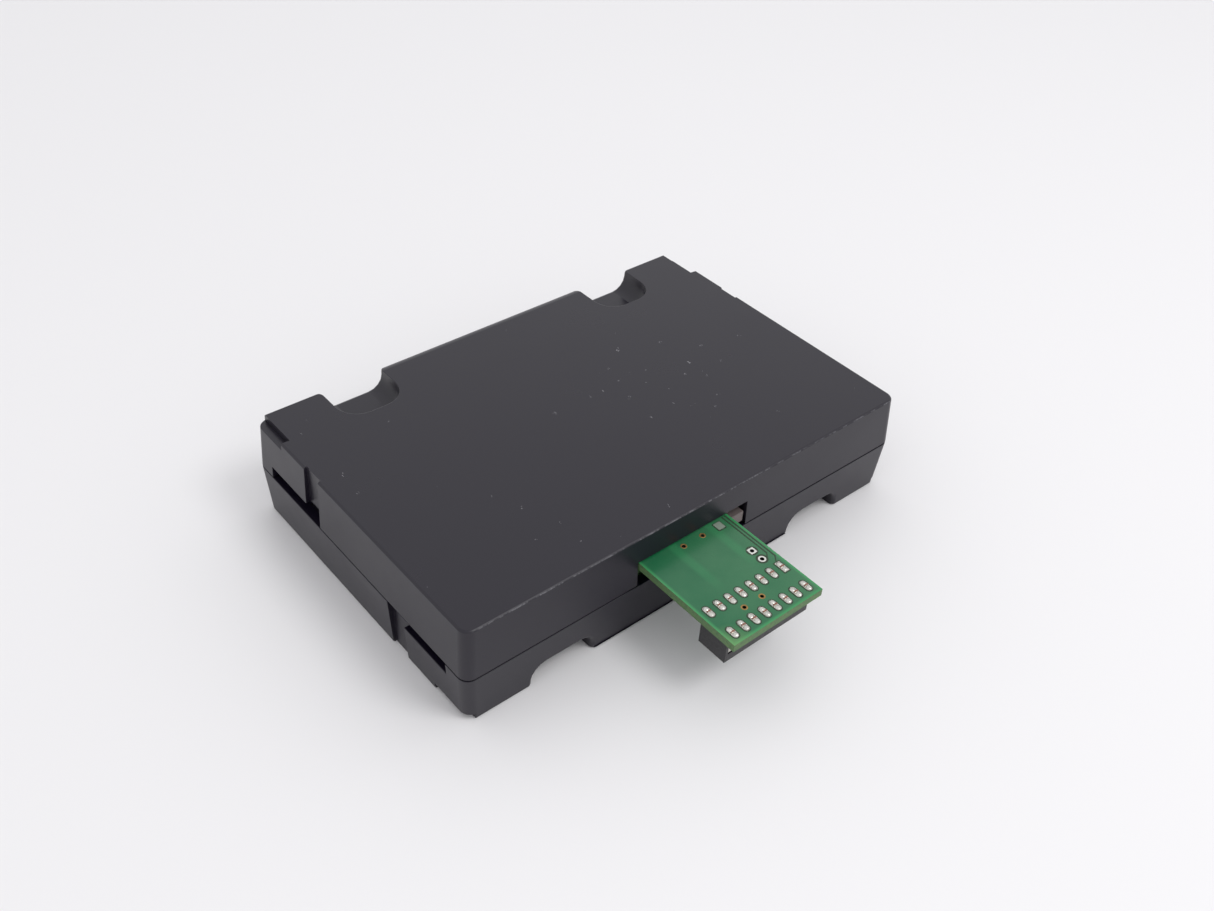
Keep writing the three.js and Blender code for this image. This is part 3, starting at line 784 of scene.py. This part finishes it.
def leads(name, low, high, across_x, across_y, spacing, width, reach, floor):
    """A frame of gull wing leads round a chip: across_x of them on each side that faces X."""
    middle, rise = (low + high) / 2, (high.z - low.z) * 0.5
    frame_pieces = []
    for count, half, turn in ((across_x, (high.x - low.x) / 2, math.pi / 2),
                              (across_y, (high.y - low.y) / 2, 0)):
        if not count:
            continue
        lead = drawn_strip("lead", [
            (0, half - 0.15 * MM, rise), (0, half + 0.3 * reach, rise),
            (0, half + 0.5 * reach, 0.09 * MM), (0, half + reach, 0.09 * MM)], width, 0.14 * MM)
        foot = land("foot", 0, half + 0.75 * reach, 0, 1.25 * width, 0.8 * reach, 0.05 * MM, 0)
        lead = joined([lead, foot], "lead")
        for number in range(count):
            along = (number - (count - 1) / 2) * spacing
            for back in (0, math.pi):
                frame_pieces.append(copy_to(lead, "lead", (0, 0, 0)))
                frame_pieces[-1].data.transform(
                    Matrix.Translation((middle.x, middle.y, floor))
                    @ Matrix.Rotation(turn + back, 4, "Z")
                    @ Matrix.Translation((along, 0, 0)))
        bpy.data.objects.remove(lead)
    finish_piece(joined(frame_pieces, name), [solder])


board_floor = main_hi.z
dimple_x, dimple_y, dimple_radius = 1.3 * MM, 1.2 * MM, 0.45 * MM
for node, across_x, across_y, spacing, width, reach in (
        ("usb_controller_chip", 11, 11, 0.8, 0.36, 1.0),
        ("logic_array_chip", 16, 16, 0.8, 0.36, 1.0),
        ("memory_chip", 0, 4, 1.27, 0.42, 0.95),
        ("level_shifter_chip_1", 0, 10, 0.65, 0.26, 0.85),
        ("level_shifter_chip_2", 0, 10, 0.65, 0.26, 0.85),
        ("adapter_buffer_chip", 0, 10, 0.65, 0.26, 0.85),
        ("voltage_regulator", 0, 3, 2.3, 0.75, 1.2)):
    low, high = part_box(node)
    chip = merged_copy(node, node + "_body")
    break_edges(chip, 0.05 * MM)
    # The dimple left by the ejector pin marks the first lead
    deselect()
    bpy.ops.mesh.primitive_cylinder_add(vertices=24, radius=dimple_radius, depth=0.2 * MM,
                                        location=(low.x + dimple_x, low.y + dimple_y, high.z))
    hollow(chip, settle(bpy.context.object))
    finish_piece(chip, [epoxy])
    smooth(chip)
    floor = board_floor if low.z < board_top - 1 * MM else board_top
    leads(node + "_leads", low, high, across_x, across_y, spacing * MM, width * MM, reach * MM,
          floor)

low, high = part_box("voltage_regulator")
tab = brick("regulator_tab", (low.x + 1.6 * MM, high.y - 0.2 * MM, board_floor),
            (high.x - 1.6 * MM, high.y + 1.5 * MM, board_floor + 0.5 * MM), 0.08 * MM)
finish_piece(tab, [solder])

suppressor = merged_copy("transient_suppressor", "suppressor_body")
break_edges(suppressor, 0.08 * MM)
finish_piece(suppressor, [epoxy])
smooth(suppressor)
low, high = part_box("transient_suppressor")
for number, (x0, x1) in enumerate(((low.x - 0.5 * MM, low.x + 0.6 * MM),
                                   (high.x - 0.6 * MM, high.x + 0.5 * MM))):
    cap = brick(f"suppressor_lead_{number + 1}", (x0, low.y + 0.9 * MM, board_floor),
                (x1, high.y - 0.9 * MM, board_floor + 0.35 * MM), 0.06 * MM)
    finish_piece(cap, [solder])


# ---------------------------------------------------------------- Crystal, coil, capacitors, fuse
# The large parts of the clock and the 5 V supply: a drawn steel crystal can, a ferrite coil,
# two aluminium electrolytic cans on black bases, and a self resetting fuse.
low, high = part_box("crystal_can")
flange = brick("flange", (low.x, low.y, low.z), (high.x, high.y, low.z + 0.4 * MM))
bevel(flange, 2.3 * MM, 6, upright)
step = 0.35 * MM                 # from the flange in to the can
crown = brick("crown", (low.x + step, low.y + step, low.z + step),
              (high.x - step, high.y - step, high.z))
bevel(crown, 1.95 * MM, 6, upright)
bevel(crown, 0.4 * MM, 4, lambda e: all(v.co.z > high.z - 0.01 * MM for v in e.verts))
crystal = joined([crown, flange], "crystal_drawn_can")
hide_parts("crystal_can")
finish_piece(crystal, [nickel])
smooth(crystal)

# Nickel zinc ferrite, pressed and fired: dull dark grey with a coarse matt grain of 0.2 mm
ferrite = surface("ferrite_fired_grey", "#35353a", 0.7)
mottle(ferrite, 0.2 * MM, 4, "#28282c", "#46464c", relief=0.03 * MM)
low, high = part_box("power_inductor")
coil = brick("coil_shield", low, high)
bevel(coil, 1.3 * MM, 3, upright)
centre = (low + high) / 2
deselect()
bpy.ops.mesh.primitive_torus_add(location=(centre.x, centre.y, high.z), major_radius=2.5 * MM,
                                 minor_radius=0.3 * MM, major_segments=48, minor_segments=10)
hollow(coil, settle(bpy.context.object))
break_edges(coil, 0.12 * MM)
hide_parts("power_inductor")
finish_piece(coil, [ferrite])
smooth(coil)

# Drawn aluminium can, bare: bright with a satin drawing grain, and a black polarity mark
can_metal = surface("aluminium_drawn_can", "#d2d2d4", 0.3, Metallic=1.0)
place = add(can_metal, "TexCoord").outputs["Object"]
stretch = add(can_metal, "Mapping", {"Vector": place,
                                     "Scale": (1 / (0.3 * MM), 1 / (0.3 * MM), 200)})
drawn = add(can_metal, "TexNoise", {"Vector": stretch.outputs[0], "Scale": 1.0, "Detail": 3})
sheen = add(can_metal, "MapRange", {"Value": drawn.outputs["Fac"], "From Min": 0.3,
                                    "From Max": 0.7, "To Min": 0.2, "To Max": 0.4})
feed(can_metal, {"Roughness": sheen.outputs[0]})
ink = surface("marking_ink_black", "#17171a", 0.45)
mottle(ink, 0.4 * MM, 3, "#111114", "#2c2c30")


def score(piece, *places):
    """Cuts a line round a piece across X at each place, for the finish to change there."""
    for x in places:
        edit(piece)
        bpy.ops.mesh.bisect(plane_co=(x, 0, 0), plane_no=(1, 0, 0))
        bpy.ops.object.mode_set(mode="OBJECT")


can_radius, base_height, chamfer = 3.1 * MM, 1 * MM, 1.4 * MM
for number in (1, 2):
    low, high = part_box(f"bulk_capacitor_{number}")
    centre = (low + high) / 2
    mark_x = centre.x - 1.4 * MM     # the polarity mark covers the top from here outwards
    deselect()
    bpy.ops.mesh.primitive_cylinder_add(
        vertices=48, radius=can_radius, depth=high.z - low.z - base_height,
        location=(centre.x, centre.y, (low.z + base_height + high.z) / 2))
    can = settle(bpy.context.object)
    bevel(can, 0.35 * MM, 4, lambda e: all(v.co.z > high.z - 0.01 * MM for v in e.verts))
    deselect()
    bpy.ops.mesh.primitive_torus_add(location=(centre.x, centre.y, low.z + 1.7 * MM),
                                     major_radius=can_radius + 0.15 * MM, minor_radius=0.4 * MM,
                                     major_segments=48, minor_segments=10)
    hollow(can, settle(bpy.context.object))
    score(can, mark_x)
    base = brick("base", low, (high.x, high.y, low.z + base_height))
    bevel(base, chamfer, 1, lambda e: upright(e) and e.verts[0].co.x > centre.x)
    break_edges(base, 0.08 * MM)
    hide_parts(f"bulk_capacitor_{number}")
    can.name = f"capacitor_can_{number}"
    finish_piece(can, [can_metal, ink])
    for face in can.data.polygons:
        face.material_index = int(face.center.z > high.z - 0.01 * MM and face.center.x < mark_x)
    smooth(can)
    base.name = f"capacitor_base_{number}"
    finish_piece(base, [polyester])
    smooth(base)

# Polymer fuse under a dull yellow green resin, dipped, with tinned ends
resin = surface("epoxy_coating_yellow_green", "#6b7a3a", 0.45)
mottle(resin, 0.9 * MM, 3, "#586630", "#7f8d49", relief=0.05 * MM)
low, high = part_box("resettable_fuse")
fuse = brick("fuse_body", low, high, 0.12 * MM)
coat_start, coat_end = low.x + 0.6 * MM, high.x - 0.6 * MM
score(fuse, coat_start, coat_end)
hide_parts("resettable_fuse")
finish_piece(fuse, [resin, solder])
for face in fuse.data.polygons:
    face.material_index = int(not coat_start < face.center.x < coat_end)
smooth(fuse)


# ---------------------------------------------------------------- Small parts on the boards
# Chip resistors and capacitors, 1.6 by 0.8 mm, between the chips, each with tinned ends.

# Barium titanate ceramic, fired: matt tan
titanate = surface("ceramic_fired_tan", "#9b8464", 0.6)
mottle(titanate, 0.3 * MM, 3, "#86704f", "#ae9874")


def chip_part(name, material):
    """A ceramic block on two small lands, tinned over its last 0.3 mm at each end."""
    half_length, half_width, tin_start = 0.8 * MM, 0.4 * MM, 0.5 * MM
    body = brick(name, (-half_length, -half_width, 0.02 * MM),
                 (half_length, half_width, 0.5 * MM), 0.06 * MM, 1)
    score(body, -tin_start, tin_start)
    body.data.materials.append(material)
    body.data.materials.append(solder)
    for face in body.data.polygons:
        face.material_index = int(abs(face.center.x) > tin_start)
    feet = [land("foot", side * 0.85 * MM, 0, 0, 0.7 * MM, 0.95 * MM, 0.05 * MM, 0.1 * MM)
            for side in (-1, 1)]
    for foot in feet:
        foot.data.materials.append(solder)
    return joined([body, *feet], name)


ceramic_part = chip_part("ceramic_pattern", titanate)
resistor_part = chip_part("resistor_pattern", ink)
controller_lo, controller_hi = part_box("usb_controller_chip")
logic_lo, logic_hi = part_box("logic_array_chip")
shifter_lo, shifter_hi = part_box("level_shifter_chip_2")
spots = []
for step in range(4):
    spots.append((controller_hi.x + 3.4 * MM, controller_lo.y + (0.6 + 2.9 * step) * MM, 90, 0))
    spots.append((logic_lo.x + (1.2 + 3.9 * step) * MM, logic_hi.y + 3.2 * MM, 90, 1))
    spots.append((logic_hi.x + 3.3 * MM, logic_lo.y + (1 + 4 * step) * MM, 0, 1))
    spots.append((controller_lo.x + (0.8 + 2.6 * step) * MM, controller_hi.y + 3.1 * MM, 90, 1))
for step in range(3):
    spots.append((shifter_hi.x + 3.2 * MM, shifter_lo.y + (0.4 + 1.9 * step) * MM, 0, 0))
    spots.append((main_hi.x - 9.5 * MM, (14 - 3.2 * step) * MM, 0, 0))
    spots.append((main_lo.x + 8 * MM, (-14 - 3 * step) * MM, 90, 1))
for number, (x, y, turn, kind) in enumerate(spots):
    small = copy_to((ceramic_part, resistor_part)[kind], f"chip_part_{number + 1}",
                    (x, y, board_floor), math.radians(turn))
    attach(small, "base")
buffer_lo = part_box("adapter_buffer_chip")[0]
for number in range(2):
    small = copy_to((ceramic_part, resistor_part)[number], f"adapter_chip_part_{number + 1}",
                    (buffer_lo.x - 2.6 * MM, buffer_lo.y + (0.9 + 2.4 * number) * MM, board_top),
                    math.radians(90))
    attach(small, "base")
for pattern in (ceramic_part, resistor_part):
    bpy.data.objects.remove(pattern)


# ---------------------------------------------------------------- Tracks, lands and ink
# Copper tracks under the mask join the chips, tinned rings take the case posts, and thin
# white ink outlines show where each chip sits.
def bundle(name, start, jog, finish, count, spacing, floor, turn=0.0):
    """Parallel tracks that run straight, jog sideways together, and run straight again."""
    made = []
    for number in range(count):
        shift = (number - (count - 1) / 2) * spacing
        side, away = jog
        points = [(start[0] + shift, start[1], 0), (start[0] + shift, away + shift * 0.4, 0),
                  (start[0] + shift + side, away + abs(side) + shift * 0.4, 0),
                  (start[0] + shift + side, finish, 0)]
        made.append(drawn_strip("track", points, 0.24 * MM, 0.05 * MM))
    made = joined(made, name)
    made.data.transform(Matrix.Translation((0, 0, floor)) @ Matrix.Rotation(turn, 4, "Z"))
    finish_piece(made, [raised])


# Mask over a raised track is a lighter green than the mask between the tracks
raised = surface("solder_mask_green_over_track", "#2f7d52", 0.28, IOR=1.5)
mottle(raised, 3 * MM, 2, "#26714a", "#3c8a5c")

quarter = math.radians(-90)      # a bundle drawn along +Y then runs along +X
bundle("tracks_controller_to_logic", (-8.2 * MM, -20.8 * MM), (1.9 * MM, -14 * MM), -2.6 * MM,
       9, 0.8 * MM, board_floor, quarter)
bundle("tracks_crystal", (-27 * MM, -1.2 * MM), (0.8 * MM, -0.6 * MM), 1.6 * MM, 2, 1.6 * MM,
       board_floor)
bundle("tracks_shifter_left", (-8 * MM, -3.6 * MM), (4 * MM, -2.6 * MM), 4 * MM, 7, 0.65 * MM,
       board_floor)
bundle("tracks_supply", (26.8 * MM, -5 * MM), (0.6 * MM, -3.4 * MM), 0.2 * MM, 3, 1.6 * MM,
       board_floor)
bundle("tracks_logic_to_back", (6 * MM, 14.6 * MM), (-6 * MM, 17.5 * MM), 29 * MM, 10, 0.8 * MM,
       board_floor)
bundle("tracks_adapter", (-5 * MM, tab_hi.y - 19 * MM), (2.6 * MM, tab_hi.y - 18 * MM),
       tab_hi.y - 13.9 * MM, 6, 0.65 * MM, board_top)

post_x, post_y = 45.5 * MM, 27.35 * MM
for number, (x, y) in enumerate([(x, y) for x in (-post_x, post_x) for y in (-post_y, post_y)]):
    land_ring = ring(f"post_ring_{number + 1}", x, y, board_floor, 1.85 * MM, 2.9 * MM, 0.06 * MM)
    finish_piece(land_ring, [solder])
    smooth(land_ring)

random.seed(21)
small_via = ring("via_pattern", 0, 0, 0, 0.16 * MM, 0.36 * MM, 0.05 * MM)
vias = []
for x0, y0, x1, y1 in ((-20, 1, -9, 5), (14.5, -3, 23, 11), (-36, -12, -18, -8),
                       (28, -30, 42, -27), (-42, 16, -34, 27), (-22, 18, -6, 28),
                       (12, 17, 40, 28), (-42, -28, -18, -20)):
    for _ in range(5):
        spot = (random.uniform(x0, x1) * MM, random.uniform(y0, y1) * MM, board_floor)
        vias.append(copy_to(small_via, "via", spot))
vias = joined(vias, "main_board_vias")
finish_piece(vias, [gilt])
bpy.data.objects.remove(small_via)

# Epoxy ink, screen printed: a flat soft white, slightly worn
white_ink = surface("screen_ink_white", "#dcdcd4", 0.6)
mottle(white_ink, 0.5 * MM, 4, "#b9beb4", "#e6e6e0")
line = 0.16 * MM
outlines = []
for node, grow in (("usb_controller_chip", 1.7), ("logic_array_chip", 1.7),
                   ("memory_chip", 1.5), ("level_shifter_chip_1", 1.3),
                   ("level_shifter_chip_2", 1.3), ("crystal_can", 0.6),
                   ("power_inductor", 0.8), ("bulk_capacitor_1", 0.5),
                   ("bulk_capacitor_2", 0.5), ("transient_suppressor", 0.9)):
    low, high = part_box(node)
    x0, x1 = low.x - grow * MM, high.x + grow * MM
    y0, y1 = low.y - grow * MM, high.y + grow * MM
    for ax, ay, bx, by in ((x0, y0, x1, y0 + line), (x0, y1 - line, x1, y1),
                           (x0, y0, x0 + line, y1), (x1 - line, y0, x1, y1)):
        outlines.append(brick("line", (ax, ay, board_floor), (bx, by, board_floor + 0.02 * MM)))
outlines = joined(outlines, "ink_outlines")
finish_piece(outlines, [white_ink])

# Pins of the adapter's own two headers, soldered on its top face above the socket strips
pin_land = land("pin_land", 0, 0, 0, 1.5 * MM, 1.5 * MM, 0.05 * MM, 0.74 * MM)
deselect()
bpy.ops.mesh.primitive_cone_add(vertices=20, radius1=0.68 * MM, radius2=0.3 * MM,
                                depth=0.5 * MM, location=(0, 0, 0.3 * MM))
fillet = settle(bpy.context.object)
pin = brick("pin", (-0.3 * MM, -0.3 * MM, 0.4 * MM), (0.3 * MM, 0.3 * MM, 0.85 * MM), 0.06 * MM)
pin_pattern = joined([pin_land, fillet, pin], "pin_pattern")
strip_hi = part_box("adapter_socket_strip")[1]
back_lo, back_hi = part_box("adapter_rear_strip")
pin_rows = [strip_hi.y - 2.5 * MM + side * pitch / 2 for side in (-1, 1)]
pin_rows.append((back_lo.y + back_hi.y) / 2)
pin_places = [(strip_hi.x - (column + 0.5) * pitch, y) for y in pin_rows[:2]
              for column in range(2, 8)]
pin_places += [((tab_lo.x + tab_hi.x) / 2 + (column - 3.5) * pitch, pin_rows[2])
               for column in range(8)]
for number, (x, y) in enumerate(pin_places):
    joint = copy_to(pin_pattern, f"header_joint_{number + 1}", (x, y, board_top))
    finish_piece(joint, [solder])
    smooth(joint, 40)
bpy.data.objects.remove(pin_pattern)
